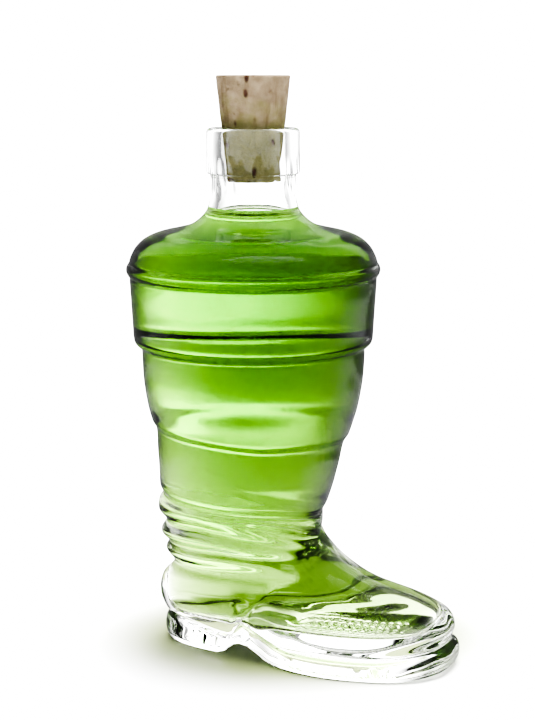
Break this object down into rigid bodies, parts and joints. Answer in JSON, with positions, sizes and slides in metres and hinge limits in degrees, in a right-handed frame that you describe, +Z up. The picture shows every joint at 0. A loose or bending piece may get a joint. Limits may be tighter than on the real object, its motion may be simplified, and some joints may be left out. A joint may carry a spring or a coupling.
{
  "type": "boot-shaped glass bottle with cork",
  "caption": "Clear glass bottle in the shape of a heeled boot, filled with green liquid to the neck and closed by a pull-out tapered cork.",
  "frame": {"origin": "middle of the bounding box in plan, on the surface that the sole and heel stand on", "axes": "+X from heel to toe, +Y across the boot, +Z up along the neck and the cork"},
  "size_m": [0.1028, 0.0758, 0.1725],
  "materials": {
    "clear_glass": "clear polished blown glass",
    "green_liquid": "clear green liquid",
    "cork": "matte natural cork"
  },
  "bodies": {
    "bottle": {"glass_boot": "clear_glass", "liquid_fill": "green_liquid"},
    "stopper": {"cork_stopper": "cork"}
  },
  "joints": [
    {"name": "stopper_pull", "type": "slide", "parent": "bottle", "child": "stopper", "axis": [0, 0, 1], "range_m": [0, 0.03]}
  ]
}
